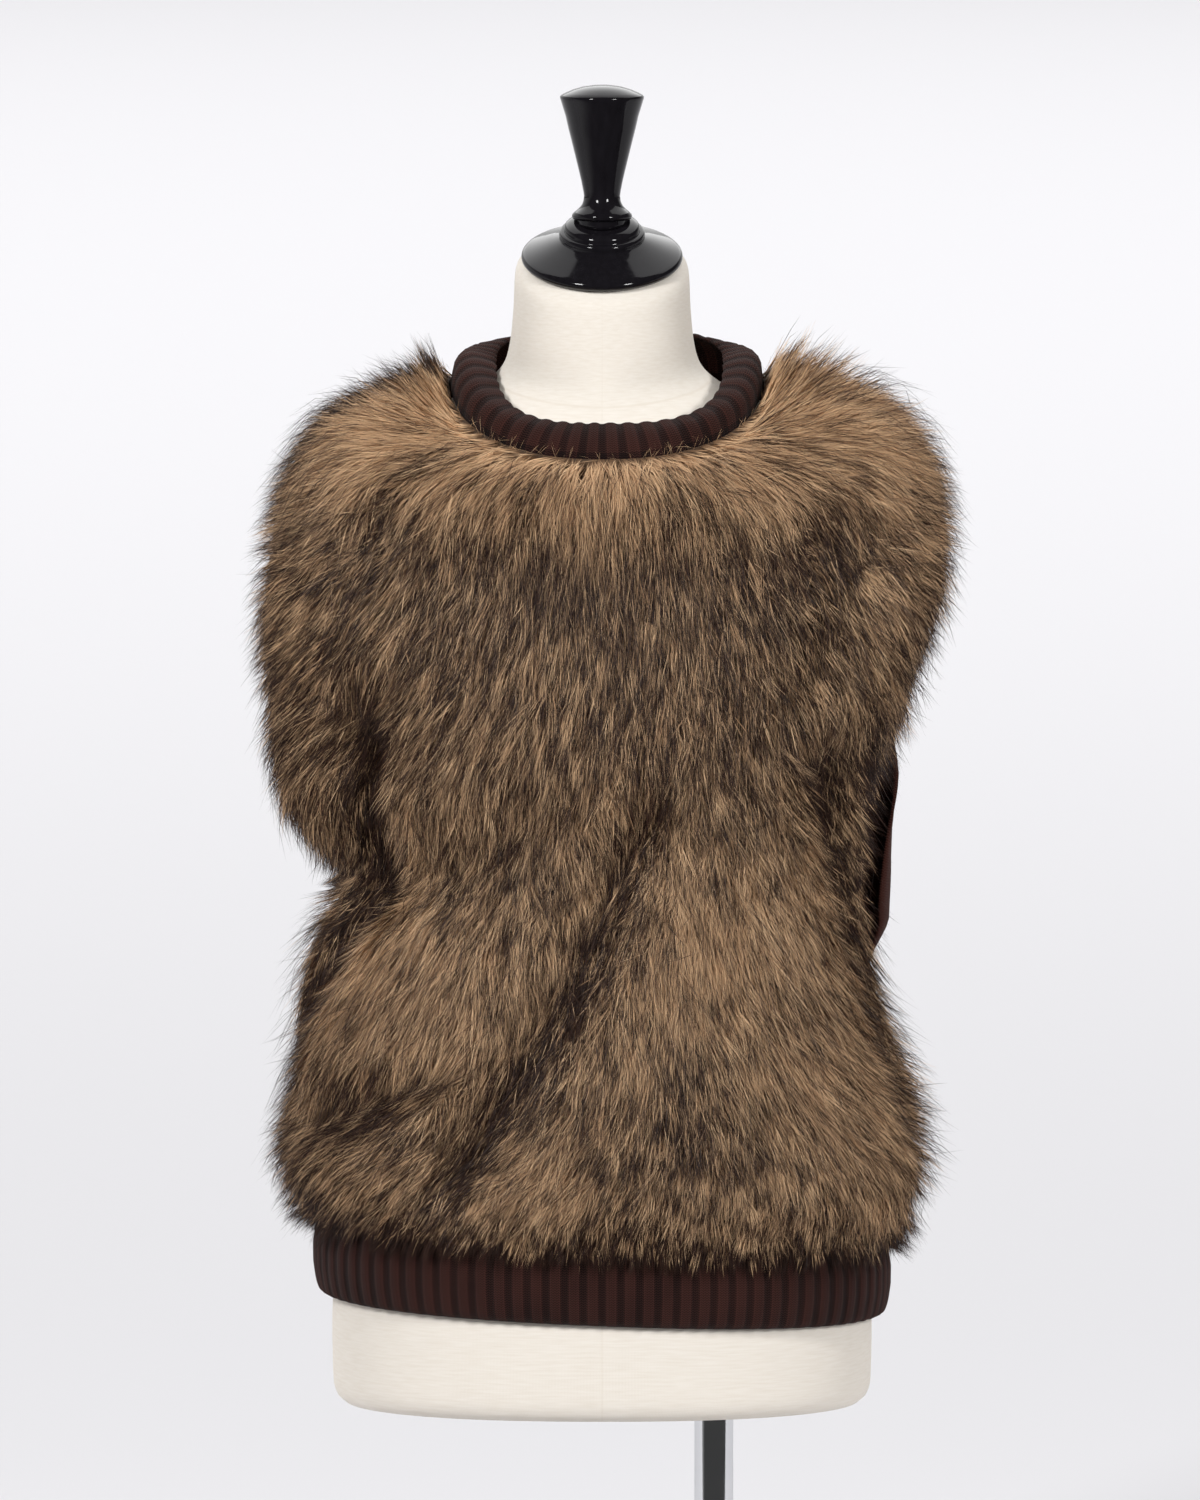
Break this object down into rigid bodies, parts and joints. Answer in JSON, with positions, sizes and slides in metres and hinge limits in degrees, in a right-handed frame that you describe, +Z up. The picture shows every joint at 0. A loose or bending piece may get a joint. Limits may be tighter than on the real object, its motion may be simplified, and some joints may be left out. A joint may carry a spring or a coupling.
{
  "type": "fur vest on a dress form",
  "caption": "Sleeveless crew-neck pullover with a long-pile fur front, plain knit back and ribbed neck and hem bands, worn on a limbless dress form with a pole stand.",
  "frame": {"origin": "middle of the underside of the stand's round base, on the floor", "axes": "+Z up; the front of the vest faces -Y; the wearer's right side is at -X"},
  "size_m": [0.4475, 0.32, 1.1196],
  "materials": {
    "fur": "long-pile fur, tan with near-black tips",
    "brown_knit": "plain dark brown knit",
    "brown_rib": "dark brown rib knit",
    "cream_cloth": "cream linen stretched over a moulded shell",
    "black_lacquer": "gloss black lacquer on turned wood",
    "chrome": "polished chrome plate on steel"
  },
  "bodies": {
    "root": {"front_panel": "fur", "back_panel": "brown_knit", "neck_rib": "brown_rib", "hem_rib": "brown_rib", "form_torso": "cream_cloth", "form_neck_cap": "black_lacquer", "form_knob": "black_lacquer", "stand_pole": "chrome", "stand_base": "chrome"}
  },
  "joints": []
}
